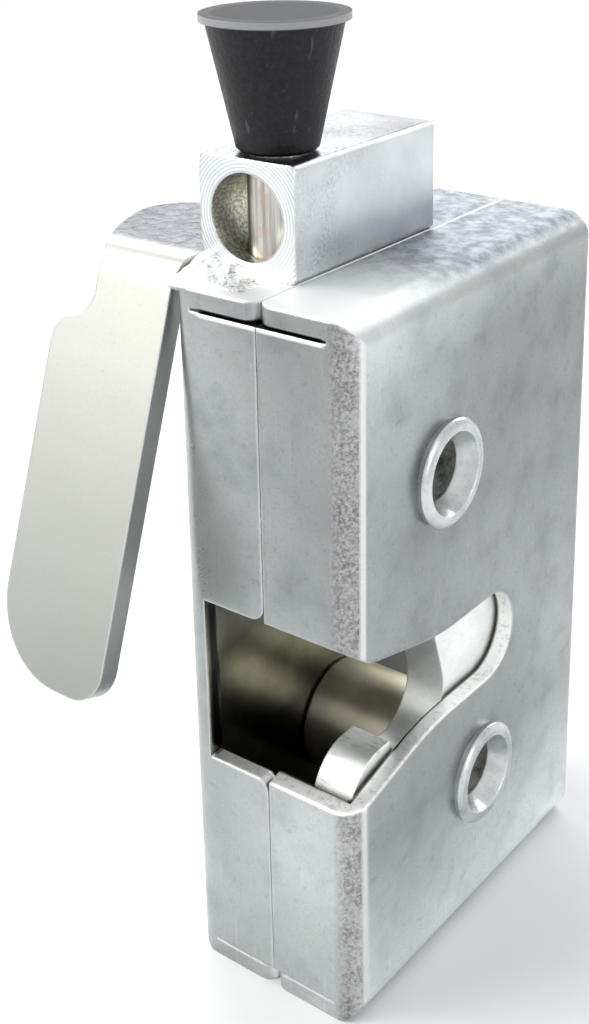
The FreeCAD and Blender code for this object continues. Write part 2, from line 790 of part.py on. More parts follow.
def tidy_strip(body):
    """Cuts the tab's plan and the paddle's outline out of the bent band."""
    right_edge = 0 - dim["block_side"]
    far = right_edge - dim["tab_width"] - PAST
    neck = right_edge - dim["strip_neck"]
    wide = right_edge - dim["strip_width"]
    tab = right_edge - dim["tab_width"]
    top = dim["strip_top"]
    end = dim["tab_end"]
    corner = dim["tab_corner"]
    plan = plane_sketch(body, "strip_plan", "XY_Plane", top + PAST)
    outline(
        plan,
        [
            (far, 0 - dim["strip_bend"]),
            (neck, 0 - dim["strip_bend"]),
            (neck, dim["tab_start"]),
            Bow((tab, dim["tab_full"]), dim["tab_bow"], False),
            (tab, end - corner),
            Bow((tab + corner, end), corner, False),
            (tab + corner, end + PAST),
            (far, end + PAST),
        ],
    )
    pocket(body, plan, dim["strip_sheet"] + PAST + dim["strip_bend"] * 0.6)
    lean = dim["strip_lean"]
    crest = dim["strip_crest"] + dim["strip_bend"]
    bend_low = top - dim["strip_bend"]
    face = plane_sketch(body, "strip_face", "XZ_Plane", 0, 0 - lean)
    turned = bend_low * cosine(lean) + crest * sine(lean)
    foot = turned - dim["strip_drop"]
    ball = dim["strip_round"]
    corner = dim["strip_corner"]
    across = (neck - wide) / 2
    tall = dim["strip_shoulder"] / 2
    sweep = (across * across + tall * tall) / (2 * across)
    shoulder = turned - 2 * PAST - 2 * tall
    outline(
        face,
        [
            (far, turned - PAST),
            (far, foot - PAST),
            (right_edge + PAST, foot - PAST),
            (right_edge + PAST, foot + corner),
            (right_edge, foot + corner),
            Bow((right_edge - corner, foot), corner, False),
            (wide + ball, foot),
            Bow((wide, foot + ball), ball, False),
            (wide, shoulder),
            Bow((wide + across, shoulder + tall), sweep, False),
            Bow((neck, shoulder + 2 * tall), sweep),
            (neck, turned - PAST),
        ],
    )
    pocket(body, face, as_size(60), reverse=True)


def wire_section(centre, heading, wire):
    """The wire's section, drawn as an octagon across the heading."""
    ring = Part.Circle(centre, heading, wire / 2)
    points = [ring.value(2 * math.pi * step / 8) for step in range(8)]
    return Part.makePolygon(points + points[:1])


def helix_coil(radius, pitch, turns, wire):
    """A wire swept along a helix that starts at +X and rises along +Z."""
    path = Part.makeHelix(pitch, pitch * turns, radius)
    ring = wire_section(FreeCAD.Vector(radius, 0, 0), AXIS_Y, wire)
    return Part.Wire(path.Edges).makePipeShell([ring], True, True)


def swept(edges, wire):
    """A wire along straight and curved edges that lie in one plane."""
    path = Part.Wire(edges)
    first = path.OrderedEdges[0]
    start = first.valueAt(first.FirstParameter)
    heading = first.tangentAt(first.FirstParameter)
    return path.makePipeShell([wire_section(start, heading, wire)], True, False)


def add_feature(name, shape, x=0, y=0, z=0):
    feature = doc.addObject("Part::Feature", name)
    feature.Label = name
    feature.Shape = shape
    place(feature, x, y, z)
    pieces[name] = feature
    return feature


def make_claw_spring():
    """An extension spring with a stem and a round hook at each end."""
    wire = dim["claw_wire"].number
    radius = hook_inside.number + wire / 2
    turns = dim["claw_turns"].number
    pitch = wire + 0.4
    rise = anchor_height.number - tail[1].number
    back = anchor_depth.number - tail[0].number
    length = math.hypot(rise, back)
    body_length = pitch * turns
    stem = (length - body_length) / 2 - radius
    low = radius + stem
    shape = helix_coil(radius, pitch, turns, wire)
    shape.translate(FreeCAD.Vector(0, 0, low))
    for sign, base, centre in ((-1, low, 0.0), (1, low + body_length, length)):
        near = FreeCAD.Vector(radius, 0, base - sign * wire * 0.2)
        corner = FreeCAD.Vector(radius, 0, centre)
        far = FreeCAD.Vector(0, 0, centre + sign * radius)
        last = FreeCAD.Vector(-radius, 0, centre)
        parts = [
            Part.LineSegment(near, corner).toShape(),
            Part.Arc(corner, far, last).toShape(),
        ]
        shape = shape.fuse(swept(parts, wire))
    shape.rotate(FreeCAD.Vector(0, 0, 0), AXIS_Z, 90)
    shape.rotate(FreeCAD.Vector(0, 0, 0), AXIS_X, -math.degrees(math.atan2(back, rise)))
    add_feature("claw_spring", shape, spring_across, tail[0], tail[1])


def make_knob():
    """The moulded knob: a taper that widens upward, with a thin rim and a blind hole."""
    body = new_body("knob", pin_across, dim["pin_depth"], knob_base)
    section = plane_sketch(body, "knob_section", "XZ_Plane")
    foot = dim["knob_foot"] / 2
    top = dim["knob_top"] / 2
    rim = dim["knob_rim"] / 2
    tall = dim["knob_tall"]
    lip = dim["knob_lip"]
    hole = dim["pin"] / 2
    outline(
        section,
        [
            (hole, as_size(0)),
            (foot - 0.4, as_size(0)),
            (foot, as_size(0.4)),
            (top, tall - lip),
            (rim, tall - lip),
            (rim, tall),
            (as_size(0), tall),
            (as_size(0), tall - 4),
            (hole, tall - 4),
        ],
    )
    revolve(body, section, "V_Axis")


knob_base = dim["case_height"] + dim["block_side"] + dim["knob_seat"]
lift_low = dim["pin_foot"] + 0.3
lift_deep = dim["lift_bar"]


def make_pull_pin():
    """The pull pin, with a forked foot for the lift plate."""
    body = new_body("pull_pin", pin_across, dim["pin_depth"], 0)
    section = plane_sketch(body, "pin_section", "XZ_Plane")
    radius = dim["pin"] / 2
    top = knob_base + dim["knob_tall"] - 4
    bevel = 0.6
    outline(
        section,
        [
            (as_size(0), dim["pin_foot"]),
            (radius - bevel, dim["pin_foot"]),
            (radius, dim["pin_foot"] + bevel),
            (radius, top),
            (as_size(0), top),
        ],
    )
    revolve(body, section, "V_Axis")
    fork = plane_sketch(body, "pin_fork", "XZ_Plane", dim["pin"])
    half_slot = dim["lift_sheet"] / 2
    outline(
        fork,
        [
            (0 - half_slot, dim["pin_foot"] - PAST),
            (half_slot, dim["pin_foot"] - PAST),
            (half_slot, lift_low + lift_deep),
            (0 - half_slot, lift_low + lift_deep),
        ],
    )
    pocket(body, fork, 2 * dim["pin"])
    hole = plane_sketch(body, "pin_rivet_hole", "YZ_Plane", 0 - dim["pin"])
    circle(hole, (as_size(0), lift_low + lift_deep / 2), dim["rivet"] / 2)
    pocket(body, hole, 2 * dim["pin"], reverse=True)


def make_lift_plate():
    """A flat hook: bar through the fork, leg behind the pawl's peg, foot under it."""
    body = new_body("lift_plate")
    flat = plane_sketch(body, "lift_outline", "YZ_Plane", pin_across - dim["lift_sheet"] / 2)
    high = lift_low + lift_deep
    leg_near = lift_peg[0] + dim["peg"] / 2 + 1.2
    leg_far = leg_near + dim["lift_leg"]
    foot_top = lift_peg[1] - dim["peg"] / 2 - dim["pawl_gap"]
    foot_low = foot_top - dim["lift_foot"]
    front = dim["pin_depth"] - dim["pin"] / 2 - 0.8
    outline(
        flat,
        [
            (front, lift_low),
            (leg_near, lift_low),
            (leg_near, foot_top),
            (lift_peg[0] - dim["peg"] / 2 - 0.8, foot_top),
            (lift_peg[0] - dim["peg"] / 2 - 0.8, foot_low),
            (leg_far, foot_low),
            (leg_far, high),
            (front, high),
        ],
    )
    pad(body, flat, dim["lift_sheet"])
    hole = plane_sketch(body, "lift_hole", "YZ_Plane", pin_across - dim["lift_sheet"])
    circle(hole, (dim["pin_depth"], lift_low + lift_deep / 2), dim["rivet"] / 2)
    pocket(body, hole, 2 * dim["lift_sheet"], reverse=True)

    def outer_corner(edge):
        middle = edge.CenterOfMass
        low_corner = at(middle.y, leg_far) and at(middle.z, foot_low)
        return along(edge, AXIS_X) and (low_corner or (at(middle.y, leg_far) and at(middle.z, high)))

    dress(body, "Fillet", 2, outer_corner)


def make_link_rivet():
    body = new_body("link_rivet", pin_across, dim["pin_depth"], lift_low + lift_deep / 2)
    ring = plane_sketch(body, "rivet_ring", "YZ_Plane", 0 - dim["pin"] / 2 + 0.5)
    circle(ring, (as_size(0), as_size(0)), dim["rivet"] / 2)
    pad(body, ring, dim["pin"] - 1)


def make_weld(name, drops, around):
    """Overlapping drops fused into one weld, cut back where it meets what it joins."""
    shape = None
    for point, radius in drops:
        drop = Part.makeSphere(radius)
        drop.translate(point)
        shape = drop if shape is None else shape.fuse(drop)
    for piece in around:
        near = piece.Shape.copy()
        near.translate(FreeCAD.Vector(0, dim["lower_depth"].number, dim["lower_height"].number))
        shape = shape.cut(near)
    solids = sorted(shape.Solids, key=lambda s: s.Volume)
    add_feature(name, solids[-1])


def make_welds():
    """The pad of weld before the block's left foot, and the seam between block and strip."""
    joined = [pieces["left_shell"], pieces["guide_block"], pieces["pull_strip"]]
    ball = dim["weld_ball"].number
    step = dim["weld_step"].number
    side = dim["block_side"].number
    top = dim["case_height"].number
    front = dim["block_front"].number
    pad_drops = []
    for count, back, size in ((5, 0.35, 1.0), (3, 1.6, 0.8)):
        for i in range(count):
            sway = 0.12 * math.sin(2.1 * i + count)
            point = FreeCAD.Vector(
                0.1 * ball - side + step * (i + 0.25 * (5 - count)) * 0.95,
                front - ball * back * (1 + sway),
                top + ball * (0.35 * size - 0.1 * i * back),
            )
            pad_drops.append((point, ball * size * (1 + sway)))
    make_weld("block_weld", pad_drops, joined)
    seam_radius = dim["seam_ball"].number
    seam_drops = [
        (
            FreeCAD.Vector(-side - 0.25 * seam_radius, front + 1.3 * step + step * i, top + seam_radius),
            seam_radius * (1 + 0.12 * math.sin(2.1 * i)),
        )
        for i in range(5)
    ]
    make_weld("strip_weld", seam_drops, joined)


def make_pawl_spring():
    """A torsion spring round the upper spacer: one leg on the peg, one on the front flange."""
    wire = dim["pawl_wire"].number
    pitch = wire + 0.15
    radius = dim["spacer_outer"].number / 2 + 0.9 + wire / 2
    right = (inner_face - 2 * dim["face_gap"] - dim["plate"]).number - wire / 2
    centre_y = upper[0].number
    centre_z = upper[1].number
    over_y = lift_peg[0].number - centre_y
    over_z = lift_peg[1].number - centre_z
    clear = (dim["peg"] / 2 + dim["pawl_gap"]).number + wire / 2
    reach = math.hypot(over_y, over_z)
    leave = math.atan2(over_z, over_y) + math.acos((radius - clear) / reach)
    turns = dim["pawl_turns"].number + (math.pi / 2 - leave) / (2 * math.pi)
    coil = helix_coil(radius, pitch, turns, wire)
    coil.rotate(FreeCAD.Vector(0, 0, 0), AXIS_Y, 90)
    coil.rotate(FreeCAD.Vector(0, 0, 0), AXIS_X, 90 - math.degrees(leave))
    coil = coil.mirror(FreeCAD.Vector(0, 0, 0), AXIS_X)
    coil.rotate(FreeCAD.Vector(0, 0, 0), AXIS_X, 2 * math.degrees(leave) - 180)
    coil.translate(FreeCAD.Vector(right, 0, 0))
    start = FreeCAD.Vector(right, radius * math.cos(leave), radius * math.sin(leave))
    over = FreeCAD.Vector(
        right, over_y + clear * math.cos(leave), over_z + clear * math.sin(leave)
    )
    heading = (over - start).normalize()
    rear = swept([Part.LineSegment(start - heading * 0.4, over + heading * 3).toShape()], wire)
    left = right - pitch * turns
    stop = dim["sheet"].number + 0.3 + wire / 2 - centre_y
    turn = 2.4
    corner = FreeCAD.Vector(left, stop + turn, radius)
    middle = FreeCAD.Vector(
        left, stop + turn - turn * math.sin(math.pi / 4), radius - turn + turn * math.cos(math.pi / 4)
    )
    low = FreeCAD.Vector(left, stop, radius - turn)
    front = swept(
        [
            Part.LineSegment(FreeCAD.Vector(left, 0.4, radius), corner).toShape(),
            Part.Arc(corner, middle, low).toShape(),
            Part.LineSegment(low, low - AXIS_Z * 5).toShape(),
        ],
        wire,
    )
    shape = coil.fuse(rear).fuse(front)
    add_feature("pawl_spring", shape, 0, dim["upper_depth"], dim["upper_height"])


make_left_shell()
make_right_shell()
make_pivot_tube("upper_pivot_tube", dim["upper_depth"], dim["upper_height"])
make_pivot_tube("lower_pivot_tube", dim["lower_depth"], dim["lower_height"])
make_spacer("upper_spacer", dim["upper_depth"], dim["upper_height"])
make_spacer("lower_spacer", dim["lower_depth"], dim["lower_height"])
make_claw()
make_pawl()
make_peg("claw_peg", tail, claw_face - spring_across + dim["peg_past"], spring_across)
make_peg("pawl_peg", lift_peg, claw_face - pin_across + dim["peg_past"])
make_spring_anchor()
make_guide_block()
tidy_strip(make_pull_strip())
make_knob()
make_pull_pin()
make_lift_plate()
make_link_rivet()
make_claw_spring()
make_pawl_spring()
doc.recompute()
make_welds()
doc.recompute()

for thing in doc.Objects:
    if "Invalid" in thing.State or "Error" in thing.State:
        raise RuntimeError(f"{thing.Name} did not compute: {thing.State}")
for name, piece in pieces.items():
    if piece.Shape.isNull() or not piece.Shape.isValid():
        raise RuntimeError(f"{name} has no valid shape")

os.makedirs("parts", exist_ok=True)
for name, piece in pieces.items():
    piece.Shape.exportStep(f"parts/{name}.step")
    box = piece.Shape.BoundBox
    print(f"{name}: {len(piece.Shape.Solids)} solid, {piece.Shape.Volume:.0f} mm3, "
          f"x {box.XMin:.1f}..{box.XMax:.1f} y {box.YMin:.1f}..{box.YMax:.1f} "
          f"z {box.ZMin:.1f}..{box.ZMax:.1f}")
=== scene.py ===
import math

import bpy
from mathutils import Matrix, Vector, noise


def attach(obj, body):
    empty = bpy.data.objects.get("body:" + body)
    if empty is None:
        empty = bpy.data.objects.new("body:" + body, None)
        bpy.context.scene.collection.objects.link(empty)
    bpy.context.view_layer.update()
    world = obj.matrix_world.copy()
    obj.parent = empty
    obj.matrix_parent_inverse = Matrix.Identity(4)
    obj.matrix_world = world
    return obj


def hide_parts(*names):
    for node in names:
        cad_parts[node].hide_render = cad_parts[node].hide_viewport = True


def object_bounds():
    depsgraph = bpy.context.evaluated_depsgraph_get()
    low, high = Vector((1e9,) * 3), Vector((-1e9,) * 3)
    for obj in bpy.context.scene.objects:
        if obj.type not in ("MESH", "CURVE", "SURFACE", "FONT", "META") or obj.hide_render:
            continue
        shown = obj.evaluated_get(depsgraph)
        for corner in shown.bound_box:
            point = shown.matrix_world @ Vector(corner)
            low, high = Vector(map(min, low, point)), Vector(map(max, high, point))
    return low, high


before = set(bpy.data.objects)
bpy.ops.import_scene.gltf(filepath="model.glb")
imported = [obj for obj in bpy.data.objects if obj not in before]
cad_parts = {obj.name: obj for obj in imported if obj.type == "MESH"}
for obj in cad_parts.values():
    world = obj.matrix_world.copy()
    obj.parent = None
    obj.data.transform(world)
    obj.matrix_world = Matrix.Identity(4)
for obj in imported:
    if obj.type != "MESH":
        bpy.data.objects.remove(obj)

cad_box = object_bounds()

# Axes by number. All places, sizes and depths below are in millimetres unless a name says otherwise.
X, Y, Z = range(3)

MOUTH_HEIGHTS = (9.0, 35.0)
LIP_HEIGHTS = (8.0, 36.0)
HOLLOW = ((-11.75, 11.75), (-28.75, 40.0), (-20.6, 74.6))
CASING_TOP_FROM = 73.0
SLIT_SHADOW_HEIGHTS = (74.05, 74.65)
BLOCK_BORE_X, BLOCK_BORE_Z, BLOCK_BORE_RADIUS = -7.5, 84.5, 5.8
TURNING_PITCH = 0.45
KNOB_TOP_CENTRE = (-7.0, -17.0, 109.3)

LIGHT_GREY = (0.62, 0.64, 0.65, 1)
MID_GREY = (0.46, 0.48, 0.49, 1)
DARK_GREY = (0.30, 0.32, 0.335, 1)
NEAR_WHITE = (0.95, 0.96, 0.95, 1)
WHITE = (1, 1, 1, 1)


def mm(*values):
    return tuple(v / 1000.0 for v in values)


class Look:
    """A material, built up node by node."""

    def __init__(self, name, **constants):
        self.material = bpy.data.materials.new(name)
        self.material.use_nodes = True
        self.tree = self.material.node_tree
        self.shader = self.tree.nodes["Principled BSDF"]
        for socket, value in constants.items():
            self.shader.inputs[socket.replace("_", " ")].default_value = value
        coordinates = self.tree.nodes.new("ShaderNodeTexCoord")
        self.place = coordinates.outputs["Object"]
        self.normal = self.tree.nodes.new("ShaderNodeNewGeometry").outputs["Normal"]
        self.raised = None

    def add(self, kind, inputs=(), **settings):
        node = self.tree.nodes.new("ShaderNode" + kind)
        for name, value in settings.items():
            setattr(node, name, value)
        for key, value in dict(inputs).items():
            socket = node.inputs[key]
            if isinstance(value, bpy.types.NodeSocket):
                self.tree.links.new(value, socket)
            else:
                socket.default_value = value
        return node

    # Numbers and masks.

    def calc(self, operation, a, b=0.0):
        return self.add("Math", {0: a, 1: b}, operation=operation).outputs[0]

    def product(self, first, *others):
        for other in others:
            first = self.calc("MULTIPLY", first, other)
        return first

    def total(self, first, *others):
        for other in others:
            first = self.calc("ADD", first, other)
        return first

    def either(self, a, b):
        return self.calc("MAXIMUM", a, b)

    def outside(self, mask):
        return self.calc("SUBTRACT", 1.0, mask)

    def span(self, value, low, high, to_low=0.0, to_high=1.0):
        """Maps a range of values onto another, held at both ends."""
        inputs = {"Value": value, "From Min": low, "From Max": high}
        inputs.update({"To Min": to_low, "To Max": to_high})
        return self.add("MapRange", inputs, clamp=True).outputs[0]

    def pick(self, mask, without, within):
        """One value outside a mask and another inside it."""
        return self.span(mask, 0.0, 1.0, without, within)

    def axis(self, source, which):
        return self.add("SeparateXYZ", {0: source}).outputs[which]

    def along(self, which):
        """The place along one axis."""
        return self.product(self.axis(self.place, which), 1000.0)

    def fade(self, which, start, end, at_start=0.0, at_end=1.0):
        """A value that changes along one axis between two places."""
        return self.span(self.along(which), start, end, at_start, at_end)

    def between(self, which, low, high, soft=0.3):
        """A mask of the places between two values along one axis."""
        rise = self.fade(which, low - soft, low + soft)
        return self.product(rise, self.fade(which, high - soft, high + soft, 1.0, 0.0))

    def facing(self, direction, low=0.6, high=0.8):
        """A mask of the faces that look along one axis, such as -Z."""
        value = self.axis(self.normal, "XYZ".index(direction[1]))
        if direction[0] == "-":
            value = self.product(value, -1.0)
        return self.span(value, low, high)

    def spot(self, centre, radius, core=0.0):
        """A soft ball-shaped mask, full within its core."""
        away = self.add("VectorMath", {0: self.place, 1: mm(*centre)}, operation="DISTANCE")
        return self.span(away.outputs["Value"], radius / 1000.0, core / 1000.0)

    def edges(self, radius):
        """A mask of the sharp edges, found where a rounded normal leaves the flat one."""
        soft = self.add("Bevel", {"Radius": radius / 1000.0}, samples=6).outputs[0]
        dot = self.add("VectorMath", {0: soft, 1: self.normal}, operation="DOT_PRODUCT")
        return self.span(dot.outputs["Value"], 0.995, 0.80)

    # Textures.

    def stretched(self, scale, turn=(0, 0, 0)):
        """Coordinates scaled by axis, so that a texture runs along one direction."""
        turn = tuple(math.radians(t) for t in turn)
        inputs = {"Vector": self.place, "Scale": scale, "Rotation": turn}
        return self.add("Mapping", inputs).outputs[0]

    def noise(self, scale, detail=4.0, rough=0.55, along=None, twist=0.0):
        inputs = {"Scale": scale, "Detail": detail, "Roughness": rough, "Distortion": twist}
        inputs["Vector"] = self.place if along is None else along
        return self.add("TexNoise", inputs).outputs["Fac"]

    def speckle(self):
        return self.noise(2600, 2, 0.5)

    def upright_scratches(self):
        return self.noise(2400, 2, 0.5, self.stretched((1, 1, 0.04), (0, 12, 0)))

    def cells(self, scale):
        inputs = {"Scale": scale, "Vector": self.place}
        return self.add("TexVoronoi", inputs, feature="F1").outputs["Distance"]

    # Colours.

    def blend(self, factor, a, b):
        inputs = {0: factor, 6: a, 7: b}
        return self.add("Mix", inputs, data_type="RGBA", blend_type="MIX").outputs[2]

    def tones(self, texture, low, high, a, b):
        """Two colours, told apart by a texture."""
        return self.blend(self.span(texture, low, high), a, b)

    def fleck(self, base, texture, low, high, strength, colour):
        """Lays a colour over a base where a texture runs from low to high."""
        return self.blend(self.span(texture, low, high, 0.0, strength), base, colour)

    def worn_edges(self, base, radius, strength, colour):
        return self.fleck(base, self.edges(radius), 0.1, 0.9, strength, colour)

    def shade(self, base, factor):
        """Makes a colour darker or lighter by a factor."""
        return self.add("VectorMath", {0: base, 3: factor}, operation="SCALE").outputs[0]

    # What the shader takes.

    def colour(self, value):
        self.tree.links.new(value, self.shader.inputs["Base Color"])

    def rough(self, value):
        socket = self.shader.inputs["Roughness"]
        if isinstance(value, float):
            socket.default_value = value
        else:
            self.tree.links.new(value, socket)

    def relief(self, height, depth, edge=0.0):
        """Raises the surface by a texture; edge is the radius that edges seem to have."""
        inputs = {"Height": height, "Strength": 1.0, "Distance": depth / 1000.0}
        if self.raised is not None:
            inputs["Normal"] = self.raised
        elif edge:
            inputs["Normal"] = self.add("Bevel", {"Radius": edge / 1000.0}, samples=6).outputs[0]
        self.raised = self.add("Bump", inputs).outputs[0]
        self.tree.links.new(self.raised, self.shader.inputs["Normal"])


def plate_look():
    """The plates inside: clouds, fine speckle, faint scratches."""
    look = Look("zinc_plate_look", Metallic=1.0)
    clouds = look.noise(55, 5, 0.6)
    blotch = look.noise(240, 4, 0.6)
    speckle = look.speckle()
    scratch = look.upright_scratches()
    base = look.tones(clouds, 0.36, 0.66, MID_GREY, LIGHT_GREY)
    base = look.fleck(base, blotch, 0.56, 0.76, 0.35, DARK_GREY)
    base = look.fleck(base, speckle, 0.55, 0.72, 0.25, DARK_GREY)
    base = look.fleck(base, scratch, 0.66, 0.74, 0.35, LIGHT_GREY)
    look.colour(look.worn_edges(base, 0.6, 0.7, (0.85, 0.87, 0.88, 1)))
    rough = look.span(blotch, 0.3, 0.75, 0.28, 0.48)
    look.rough(look.total(rough, look.span(speckle, 0.4, 0.7, 0.0, 0.06)))
    look.relief(look.noise(70, 2, 0.5), 0.10, edge=0.35)
    look.relief(speckle, 0.006)
    look.relief(scratch, 0.004)
    return look.material


def painted_casing_light(look):
    """Painted light and shade on the plating, standing in for reflections: a factor by height on the
    sides, by height and width on the front.
    """
    low_part = look.fade(Z, -20.0, 3.0, 1.03, 0.0)
    upper_part = look.fade(Z, 12.0, 52.0, 0.65, 0.48)
    top_bend = look.fade(Z, 67.0, 76.0, 0.0, 0.30)
    corner = look.product(look.spot((14, -24, 70), 24, 4), 0.26)
    near_bend = look.fade(Y, -29.0, -17.0, 0.16, 0.0)
    on_sides = look.total(low_part, upper_part, top_bend, corner, near_bend)

    lean = look.product(look.fade(X, -8.0, 6.0, -0.12, 0.12), look.fade(Z, 0.0, 40.0, 1.0, -0.54))
    on_front = look.total(look.fade(Z, 0.0, 40.0, 0.90, 0.61), lean)
    side = look.either(look.facing("+X", 0.5, 0.9), look.facing("-X", 0.5, 0.9))
    front = look.facing("-Y", 0.6, 0.95)
    return look.pick(front, look.pick(side, 1.0, on_sides), on_front)


def shell_look():
    """The casing: cloudy plating outside under painted light and shade, worn bends with a painted
    highlight, a top painted pale in front, cut lips painted near white as a highlight, a painted slit
    shadow, and an inside darkened with painted shade.
    """
    look = Look("zinc_sheet_look", Metallic=1.0)
    blotch = look.noise(150, 4, 0.6)
    speckle = look.speckle()
    scratch = look.upright_scratches()
    base = look.tones(look.noise(34, 4, 0.55), 0.38, 0.64, (0.50, 0.53, 0.525, 1), (0.60, 0.63, 0.625, 1))
    base = look.fleck(base, blotch, 0.48, 0.70, 0.34, DARK_GREY)
    base = look.fleck(base, look.noise(620, 3, 0.6), 0.62, 0.74, 0.40, DARK_GREY)
    base = look.fleck(base, speckle, 0.55, 0.72, 0.22, DARK_GREY)
    base = look.fleck(base, scratch, 0.66, 0.74, 0.30, (0.74, 0.76, 0.75, 1))
    # Painted light and shade: the plating made lighter or darker by place.
    base = look.shade(base, painted_casing_light(look))

    # The right bend: a dark speckled band, and a painted highlight beside it, a paler colour where the
    # normal turns towards +X.
    bend = look.product(look.between(X, 11.2, 14.5, 0.8), look.facing("-Y", 0.20, 0.45))
    worn = look.noise(1900, 8, 0.8)
    mottle = look.tones(worn, 0.42, 0.58, (0.115, 0.098, 0.10, 1), (0.52, 0.50, 0.50, 1))
    worn_part = look.span(look.noise(300, 3, 0.6), 0.30, 0.55, 0.45, 1.0)
    base = look.blend(look.product(bend, worn_part, 0.75), base, mottle)
    turned = look.axis(look.normal, X)
    painted_shine = look.product(look.span(turned, 0.88, 0.94), look.span(turned, 0.995, 0.975))
    painted_shine = look.product(painted_shine, look.span(look.axis(look.normal, Y), -0.05, -0.15), 0.8)
    base = look.blend(painted_shine, base, (0.80, 0.83, 0.82, 1))

    # The top: painted light in front, a pale colour standing in for a reflection; mottled blue-grey patina
    # behind.
    above = look.calc("GREATER_THAN", look.along(Z), CASING_TOP_FROM)
    deck = look.product(look.facing("+Z", 0.45, 0.9), above)
    patina = look.tones(look.noise(420, 5, 0.7), 0.40, 0.62, (0.13, 0.14, 0.165, 1), (0.34, 0.36, 0.40, 1))
    top = look.blend(look.fade(Y, -22.0, -4.0), (0.78, 0.80, 0.795, 1), patina)
    base = look.blend(look.product(deck, 0.85), base, top)
    base = look.worn_edges(base, 0.7, 0.7, (0.86, 0.88, 0.88, 1))

    # The cut lips of the mouth and the slot: bare cut metal with grey mottle, painted near white as a
    # highlight.
    mouth = look.between(Z, *LIP_HEIGHTS)
    flat = look.either(look.facing("+Z"), look.facing("-Z"))
    thin = look.product(look.between(X, 11.62, 13.9, 0.06), look.calc("LESS_THAN", turned, 0.1))
    lips = look.product(look.either(flat, thin), mouth)
    cut_metal_and_highlight = look.fleck((0.98, 0.99, 0.98, 1), look.noise(1100, 4, 0.7), 0.52, 0.64, 0.42,
                      (0.42, 0.44, 0.44, 1))
    base = look.blend(lips, base, cut_metal_and_highlight)

    # The slit over the front flange: a painted highlight, a near-white line on the lip below, and a
    # painted shadow, a black band over the gap.
    painted_slit = look.product(look.between(X, -9.2, 10.0, 0.4), look.between(Y, -40.0, -28.6, 0.1))
    slit_lip_highlight = look.product(painted_slit, look.between(Z, 73.5, 74.0, 0.1), 0.7)
    base = look.blend(slit_lip_highlight, base, NEAR_WHITE)
    painted_slit = look.product(painted_slit, look.between(Z, *SLIT_SHADOW_HEIGHTS, 0.04))
    base = look.blend(painted_slit, base, (0.02, 0.02, 0.02, 1))

    # The hollow and the left jamb of the mouth: painted shade, a dark olive inside, dimmest above and
    # below a lighter band at the sleeve's height that is a painted reflection of the sleeve.
    hollow = look.product(*(look.between(which, *HOLLOW[which], 0.08) for which in (X, Y, Z)))
    jamb = look.product(look.facing("+X", 0.8, 0.95), look.between(X, -10.2, -9.8, 0.08))
    hollow = look.either(hollow, look.product(jamb, look.between(Z, *MOUTH_HEIGHTS)))
    murk = look.tones(blotch, 0.35, 0.7, (0.38, 0.38, 0.315, 1), (0.56, 0.56, 0.475, 1))
    base = look.blend(hollow, base, look.shade(murk, look.total(look.between(Z, 13.0, 27.0, 6.0), 0.12)))
    # Painted shade: the jamb's inner edge darkened further.
    rim = look.product(look.between(X, -10.4, -9.6, 0.1), look.between(Y, -30.2, -28.2, 0.2))
    rim = look.product(rim, look.between(Z, *MOUTH_HEIGHTS))
    look.colour(look.shade(base, look.pick(rim, 1.0, 0.15)))

    rough = look.span(blotch, 0.3, 0.75, 0.24, 0.38)
    rough = look.total(rough, look.span(speckle, 0.4, 0.7, 0.0, 0.06))
    rough = look.pick(lips, look.pick(deck, rough, 0.62), 0.5)
    look.rough(look.pick(hollow, rough, 0.17))
    look.relief(look.noise(70, 2, 0.5), 0.08, edge=0.8)
    look.relief(look.product(bend, worn), 0.06)
    look.relief(speckle, 0.006)
    look.relief(scratch, 0.004)
    return look.material


def claw_look():
    """The claw: bright plating, with grey scuffs on the nose."""
    look = Look("claw_look", Metallic=1.0)
    clouds = look.noise(130, 4, 0.6)
    scuff = look.noise(700, 4, 0.7, look.stretched((0.25, 1, 1), (0, 0, 25)))
    speckle = look.speckle()
    base = look.tones(clouds, 0.36, 0.66, (0.86, 0.88, 0.87, 1), (0.98, 0.99, 0.98, 1))
    nose = look.between(Y, -40.0, -15.0, 4.0)
    marks = look.product(look.span(scuff, 0.54, 0.66, 0.0, 0.7), nose)
    base = look.blend(marks, base, (0.30, 0.31, 0.30, 1))
    base = look.fleck(base, speckle, 0.58, 0.72, 0.2, MID_GREY)
    look.colour(look.worn_edges(base, 0.5, 0.7, NEAR_WHITE))
    look.rough(look.span(clouds, 0.3, 0.7, 0.46, 0.60))
    look.relief(scuff, 0.03, edge=0.35)
    look.relief(speckle, 0.006)
    return look.material


def tube_look():
    """The tubes: bright rolled rims with fine chatter, a smeared rough bore."""
    look = Look("tube_look", Metallic=1.0)
    clouds = look.noise(160, 4, 0.6)
    chatter = look.noise(2200, 3, 0.6)
    base = look.tones(clouds, 0.36, 0.66, (0.42, 0.44, 0.44, 1), (0.66, 0.68, 0.68, 1))
    base = look.fleck(base, chatter, 0.55, 0.70, 0.35, DARK_GREY)
    base = look.worn_edges(base, 0.4, 0.7, (0.92, 0.94, 0.94, 1))
    bore = look.between(X, -12.6, 12.6, 0.5)
    smear = look.tones(look.noise(260, 4, 0.65), 0.40, 0.60, (0.22, 0.225, 0.20, 1), (0.74, 0.75, 0.73, 1))
    look.colour(look.blend(bore, base, smear))
    look.rough(look.pick(bore, look.span(clouds, 0.3, 0.7, 0.20, 0.36), 0.55))
    look.relief(look.noise(300, 3, 0.6), 0.05, edge=0.35)
    look.relief(chatter, 0.008)
    return look.material


